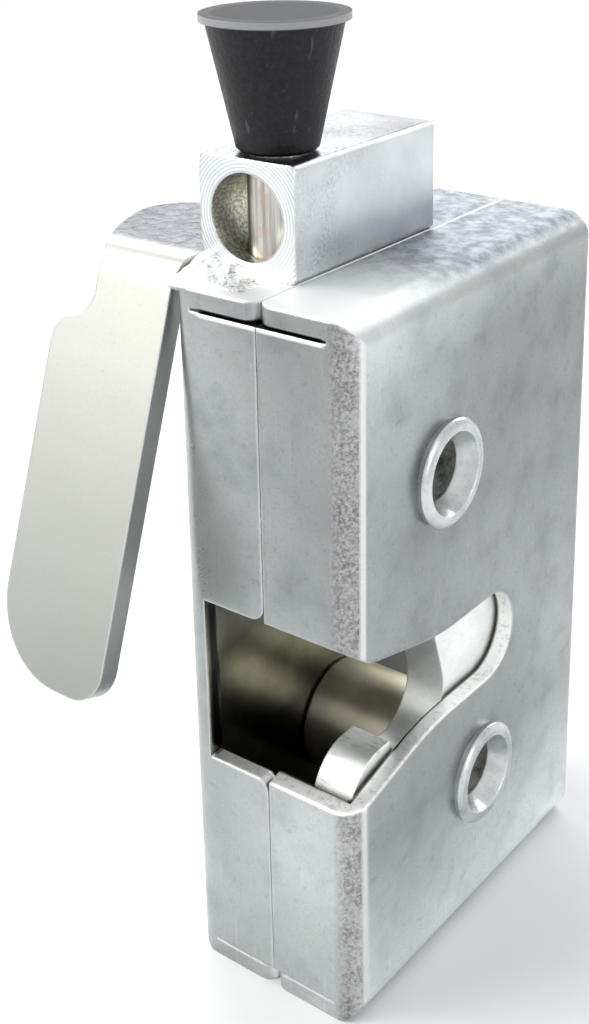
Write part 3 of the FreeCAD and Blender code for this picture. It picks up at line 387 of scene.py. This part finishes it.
def sleeve_look():
    """The turned sleeves: warm grey steel with one worn end."""
    look = Look("sleeve_look", Metallic=1.0)
    clouds = look.noise(150, 4, 0.6)
    nicks = look.noise(1200, 3, 0.6)
    base = look.tones(clouds, 0.35, 0.68, (0.84, 0.76, 0.60, 1), (0.98, 0.92, 0.78, 1))
    base = look.fleck(base, nicks, 0.64, 0.72, 0.6, (0.75, 0.73, 0.66, 1))
    worn = look.product(look.between(X, 3.7, 5.5, 0.5), look.span(nicks, 0.38, 0.52))
    look.colour(look.blend(worn, base, (0.85, 0.84, 0.80, 1)))
    look.rough(look.span(clouds, 0.3, 0.7, 0.36, 0.46))
    look.relief(look.noise(200, 2, 0.5), 0.01, edge=0.3)
    return look.material


def steel_look():
    """Turned steel without plating, with fine rings."""
    look = Look("bare_steel_look", Metallic=1.0)
    rings = look.noise(3000, 2, 0.5, look.stretched((1, 0.05, 0.05)))
    pale, dark = (0.42, 0.41, 0.38, 1), (0.252, 0.246, 0.228, 1)
    look.colour(look.tones(look.noise(120, 4, 0.6), 0.35, 0.7, pale, dark))
    look.rough(look.span(rings, 0.3, 0.7, 0.24, 0.44))
    look.relief(rings, 0.006, edge=0.2)
    return look.material


def block_look():
    """Drawn square bar with a turned end face: rings round the bore."""
    look = Look("guide_block_look", Metallic=1.0)
    to_bore = mm(-BLOCK_BORE_X, 0, -BLOCK_BORE_Z)
    offset = look.add("VectorMath", {0: look.place, 1: to_bore}, operation="ADD")
    flat = look.add("VectorMath", {0: offset.outputs[0], 1: (1, 0, 1)}, operation="MULTIPLY")
    radius = look.add("VectorMath", {0: flat.outputs[0]}, operation="LENGTH").outputs["Value"]
    wave = look.calc("SINE", look.product(radius, 2 * math.pi / (TURNING_PITCH / 1000.0)))
    front = look.facing("-Y")
    clouds = look.noise(90, 4, 0.6)
    speckle = look.noise(2200, 3, 0.6)
    base = look.tones(clouds, 0.35, 0.65, (0.60, 0.63, 0.65, 1), (0.73, 0.76, 0.78, 1))

    # Grit on the sides, near the front.
    patchy = look.span(look.noise(140, 3, 0.5), 0.42, 0.60)
    grit = look.product(look.span(speckle, 0.42, 0.66, 0.0, 0.6), patchy)
    grit = look.product(grit, look.between(Y, -30, -10, 9), look.outside(front))
    base = look.blend(grit, base, DARK_GREY)

    base = look.shade(base, look.pick(front, 1.0, 1.32))
    foot = look.product(front, look.between(Z, 70.0, 78.9, 0.3))
    base = look.blend(foot, base, NEAR_WHITE)

    # The top: dark blue-grey speckle, darker towards the back.
    dark_top = look.tones(speckle, 0.38, 0.62, (0.03, 0.031, 0.037, 1), (0.20, 0.21, 0.235, 1))
    dark_top = look.shade(dark_top, look.fade(Y, -14.0, 4.0, 1.0, 0.30))
    base = look.blend(look.product(look.facing("+Z", 0.8, 0.95), 0.97), base, dark_top)

    rings = look.product(front, look.span(wave, -1, 1, 0.0, 0.48))
    base = look.blend(rings, base, DARK_GREY)
    base = look.worn_edges(base, 0.5, 0.8, (0.9, 0.92, 0.93, 1))
    in_bore = look.calc("LESS_THAN", radius, BLOCK_BORE_RADIUS / 1000.0)
    in_bore = look.product(in_bore, look.between(Y, -22.95, 30, 0.04))
    murk = look.tones(speckle, 0.42, 0.6, (0.42, 0.42, 0.36, 1), (0.86, 0.86, 0.79, 1))
    look.colour(look.blend(in_bore, base, murk))
    look.rough(look.span(clouds, 0.3, 0.7, 0.26, 0.42))
    look.relief(look.product(front, wave), 0.02, edge=0.6)
    look.relief(speckle, 0.008)
    return look.material


def strip_look():
    """The pull strip: yellowish grey, with painted light and shade that makes it darker below and on
    upward faces, and a dark lumpy tab on top.
    """
    look = Look("pull_strip_look", Metallic=1.0)
    clouds = look.noise(40, 3, 0.5)
    speckle = look.noise(3200, 2, 0.5)
    # Painted light and shade: dark below to light above, and faces that look up made darker.
    base = look.blend(look.fade(Z, 22.0, 66.0), (0.36, 0.375, 0.345, 1), (0.69, 0.70, 0.64, 1))
    base = look.shade(base, look.pick(look.facing("+Z", 0.25, 0.75), 1.0, 0.62))
    base = look.fleck(base, clouds, 0.4, 0.7, 0.25, MID_GREY)
    base = look.fleck(base, speckle, 0.58, 0.72, 0.18, DARK_GREY)
    sides = look.either(look.facing("+X"), look.facing("-X"))
    base = look.blend(look.product(sides, 0.6), base, DARK_GREY)
    lumps = look.noise(520, 4, 0.65, twist=0.6)
    tab = look.product(look.between(Y, -23.5, 40.0, 1.6), look.facing("+Z", 0.8, 0.95))
    cast = look.tones(lumps, 0.38, 0.62, (0.035, 0.039, 0.05, 1), (0.145, 0.152, 0.172, 1))
    base = look.blend(look.product(tab, 0.92), base, cast)
    look.colour(look.worn_edges(base, 0.5, 0.6, (0.9, 0.92, 0.92, 1)))
    look.rough(look.span(clouds, 0.3, 0.7, 0.34, 0.46))
    look.relief(look.noise(45, 2, 0.5), 0.12, edge=0.5)
    look.relief(look.product(tab, lumps), 0.5)
    look.relief(speckle, 0.005)
    return look.material


def weld_look():
    """Weld metal: pale, rippled and grained."""
    look = Look("weld_look", Metallic=1.0)
    ripple = look.noise(900, 4, 0.6, twist=1.5)
    grain = look.noise(3000, 3, 0.6)
    look.colour(look.tones(ripple, 0.36, 0.52, (0.52, 0.54, 0.55, 1), (0.95, 0.96, 0.96, 1)))
    look.rough(look.span(grain, 0.3, 0.7, 0.22, 0.5))
    look.relief(ripple, 0.12)
    look.relief(grain, 0.03)
    return look.material


def knob_look():
    """Moulded black plastic with dust and scratches, a grey rim and a dark disc on top."""
    look = Look("knob_look", Metallic=0.0, Specular_IOR_Level=0.28)
    grain = look.noise(1600, 4, 0.6)
    scratch = look.noise(900, 3, 0.5, look.stretched((1, 1, 0.15), (20, 15, 0)))
    base = look.tones(grain, 0.4, 0.7, (0.004, 0.0032, 0.0045, 1), (0.017, 0.013, 0.0175, 1))
    base = look.fleck(base, look.cells(900), 0.10, 0.04, 0.35, (0.20, 0.19, 0.20, 1))
    base = look.fleck(base, scratch, 0.66, 0.74, 0.4, (0.16, 0.15, 0.16, 1))
    top = look.facing("+Z")
    base = look.blend(look.product(top, 0.9), base, (0.085, 0.085, 0.09, 1))
    disc = look.product(top, look.spot(KNOB_TOP_CENTRE, 8.2, 7.6))
    base = look.blend(look.product(disc, 0.8), base, (0.022, 0.022, 0.024, 1))
    rim = look.product(look.between(Z, 108.3, 109.5, 0.15), look.outside(top))
    look.colour(look.blend(look.product(rim, 0.85), base, (0.42, 0.42, 0.43, 1)))
    look.rough(look.pick(top, look.span(grain, 0.3, 0.7, 0.38, 0.55), 0.75))
    look.relief(grain, 0.10, edge=0.25)
    return look.material


def spring_look():
    """Drawn spring wire."""
    look = Look("spring_look", Metallic=1.0)
    grain = look.noise(1500, 3, 0.5)
    look.colour(look.tones(grain, 0.4, 0.7, (0.20, 0.20, 0.20, 1), (0.32, 0.32, 0.31, 1)))
    look.rough(look.span(grain, 0.3, 0.7, 0.3, 0.45))
    return look.material


def pin_look():
    """The pull pin: drawn steel with pale flanks and one pinkish streak, a painted reflection."""
    look = Look("pull_pin_look", Metallic=1.0)
    streaks = look.noise(1500, 3, 0.6, look.stretched((1, 1, 0.03)))
    base = look.tones(streaks, 0.36, 0.64, (0.35, 0.34, 0.31, 1), (0.70, 0.68, 0.64, 1))
    patches = look.span(look.noise(500, 3), 0.40, 0.58)
    # Painted reflection: a pinkish streak down the pin.
    pink_reflection = look.product(look.between(X, -7.2, -5.9, 0.5), patches, 0.85)
    look.colour(look.blend(pink_reflection, base, (0.52, 0.33, 0.29, 1)))
    look.rough(0.30)
    look.relief(streaks, 0.004)
    return look.material


def weld_pad(finish):
    """The run-out weld before the block's left foot, as one lumpy skin with a flat base."""
    low_x, high_x, low_y, high_y = -15.6, -3.6, -29.2, -22.9
    base, deck = 75.6, 76.95
    columns, rows = 84, 48
    # Place, height and width of each lump.
    lumps = ((-14.4, -25.4, 1.3, 1.9), (-13.6, -23.3, 2.3, 1.9), (-10.8, -23.2, 1.2, 1.7),
             (-12.4, -26.4, 0.7, 2.2), (-7.4, -23.2, 0.5, 2.0))

    def height(u, v):
        x = low_x + (high_x - low_x) * u
        y = low_y + (high_y - low_y) * v
        rise = 0.0
        for lump_x, lump_y, tall, wide in lumps:
            away = (x - lump_x) ** 2 + (y - lump_y) ** 2
            rise += tall ** 3 * math.exp(-1.5 * away / (wide * wide))
        rise = rise ** (1 / 3)
        fold = noise.noise(Vector((x * 0.62 + y * 0.4, y * 0.3 - x * 0.12, 3.0)))
        grain = noise.noise(Vector((x * 2.4, y * 2.4, 7.0)))
        edge = min(1.0, 8.1 * u + 0.18, 10.8 * (1 - u), 7.2 * v)
        rise += 0.16 + 0.35 * fold * min(1.0, rise + 0.2) + 0.07 * grain
        return mm(x, y, deck + edge * rise)

    points = [height(column / columns, row / rows)
              for row in range(rows + 1) for column in range(columns + 1)]
    across = columns + 1
    faces = [
        (a, a + 1, a + 1 + across, a + across)
        for row in range(rows)
        for a in range(row * across, row * across + columns)
    ]
    rim = list(range(across))
    rim += [row * across + columns for row in range(1, rows + 1)]
    rim += [rows * across + column for column in range(columns - 1, -1, -1)]
    rim += [row * across for row in range(rows - 1, 0, -1)]
    below = len(points)
    points += [(points[i][X], points[i][Y], base / 1000.0) for i in rim]
    count = len(rim)
    for i in range(count):
        j = (i + 1) % count
        faces.append((rim[i], below + i, below + j, rim[j]))
    faces.append(tuple(below + i for i in range(count - 1, -1, -1)))

    mesh = bpy.data.meshes.new("weld_pad")
    mesh.from_pydata(points, [], faces)
    mesh.validate()
    for face in mesh.polygons:
        face.use_smooth = True
    mesh.materials.append(finish)
    piece = bpy.data.objects.new("weld_pad", mesh)
    bpy.context.scene.collection.objects.link(piece)
    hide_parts("block_weld")
    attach(piece, "casing")


def dress():
    """Gives every node its look, and the block's weld its lumpy surface."""
    weld = weld_look()
    looks = (
        (shell_look(), ("left_shell", "right_shell")),
        (plate_look(), ("pawl", "lift_plate")),
        (steel_look(), ("claw_peg", "pawl_peg", "spring_anchor", "link_rivet")),
        (spring_look(), ("claw_spring", "pawl_spring")),
        (weld, ("block_weld", "strip_weld")),
        (tube_look(), ("upper_pivot_tube", "lower_pivot_tube")),
        (sleeve_look(), ("upper_spacer", "lower_spacer")),
        (claw_look(), ("claw",)),
        (block_look(), ("guide_block",)),
        (strip_look(), ("pull_strip",)),
        (pin_look(), ("pull_pin",)),
        (knob_look(), ("knob",)),
    )
    for material, names in looks:
        for name in names:
            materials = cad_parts[name].data.materials
            materials.clear()
            materials.append(material)
    weld_pad(weld)


def floor_look():
    """Pale floor that turns white away from the part, to the camera and in reflections."""
    look = Look("floor_look", Roughness=0.9, Specular_IOR_Level=0.1)
    look.colour(look.blend(look.noise(4, 2), (0.945, 0.95, 0.955, 1), (0.96, 0.965, 0.97, 1)))
    path = look.add("LightPath").outputs
    seen = look.either(path["Is Camera Ray"], path["Is Glossy Ray"])
    seen = look.either(seen, path["Is Transmission Ray"])
    far = look.outside(look.spot((0, 0, -23), 800, 300))
    white = look.add("Emission", {"Color": WHITE, "Strength": 1.0}).outputs[0]
    inputs = {0: look.product(seen, far), 1: look.shader.outputs[0], 2: white}
    surface = look.add("MixShader", inputs).outputs[0]
    look.tree.links.new(surface, look.tree.nodes["Material Output"].inputs["Surface"])
    return look.material


def floor():
    height = cad_box[0][2]
    half = 6.0
    corners = [(-half, -half), (half, -half), (half, half), (-half, half)]
    mesh = bpy.data.meshes.new("floor")
    mesh.from_pydata([(x, y, height) for x, y in corners], [], [(0, 1, 2, 3)])
    mesh.materials.append(floor_look())
    piece = bpy.data.objects.new("floor", mesh)
    bpy.context.scene.collection.objects.link(piece)


def lamps():
    """Soft lights, with place and size in metres and power in watts, aimed at the part's middle."""
    middle = Vector(mm(0, 0, 40))
    for name, place, size, power, tint in (
        ("rear_light", (-0.35, 0.85, 0.50), (1.6, 0.55), 9.6, (0.96, 0.985, 1.0)),
        ("key_light", (-0.55, -0.25, 0.95), (0.6, 0.6), 7.6, (1.0, 0.99, 0.97)),
        ("side_light", (0.9, -0.1, 0.30), (0.4, 0.5), 1.3, (1.0, 1.0, 1.0)),
        ("front_light", (-0.62, -0.82, 0.58), (0.5, 0.4), 2.2, (1.0, 1.0, 0.95)),
    ):
        light = bpy.data.lights.new(name, "AREA")
        light.shape = "RECTANGLE"
        light.size, light.size_y = size
        light.energy = power
        light.color = tint
        lamp = bpy.data.objects.new(name, light)
        bpy.context.scene.collection.objects.link(lamp)
        lamp.location = place
        lamp.rotation_euler = (middle - Vector(place)).to_track_quat("-Z", "Y").to_euler()


def room():
    """A pale room as fill light, shown white to the camera, in metal and through glass."""
    world = bpy.data.worlds.new("room")
    bpy.context.scene.world = world
    world.use_nodes = True
    tree = world.node_tree
    fill = tree.nodes["Background"]
    fill.inputs["Color"].default_value = (0.80, 0.82, 0.84, 1)
    fill.inputs["Strength"].default_value = 0.55
    white = tree.nodes.new("ShaderNodeBackground")
    white.inputs["Color"].default_value = WHITE
    white.inputs["Strength"].default_value = 1.0
    path = tree.nodes.new("ShaderNodeLightPath")
    mix = tree.nodes.new("ShaderNodeMixShader")
    seen = path.outputs["Is Camera Ray"]
    for kind in ("Is Glossy Ray", "Is Transmission Ray"):
        either = tree.nodes.new("ShaderNodeMath")
        either.operation = "MAXIMUM"
        tree.links.new(seen, either.inputs[0])
        tree.links.new(path.outputs[kind], either.inputs[1])
        seen = either.outputs[0]
    tree.links.new(seen, mix.inputs[0])
    tree.links.new(fill.outputs[0], mix.inputs[1])
    tree.links.new(white.outputs[0], mix.inputs[2])
    tree.links.new(mix.outputs[0], tree.nodes["World Output"].inputs["Surface"])


def photo_camera():
    """The photograph's viewpoint, solved from the casing's edges."""
    camera = bpy.data.cameras.new("camera")
    camera.sensor_width = 36.0
    camera.lens = 54.12
    camera.shift_x = 0.0079
    camera.shift_y = -0.2137
    camera.clip_start = 0.01
    eye = bpy.data.objects.new("camera", camera)
    bpy.context.scene.collection.objects.link(eye)
    eye.location = mm(109.885, -164.215, 136.011)
    eye.rotation_euler = tuple(math.radians(a) for a in (71.5065, 1.2005, 37.8487))
    bpy.context.scene.camera = eye


dress()
floor()
lamps()
room()
photo_camera()
bpy.context.scene.view_settings.view_transform = "Standard"
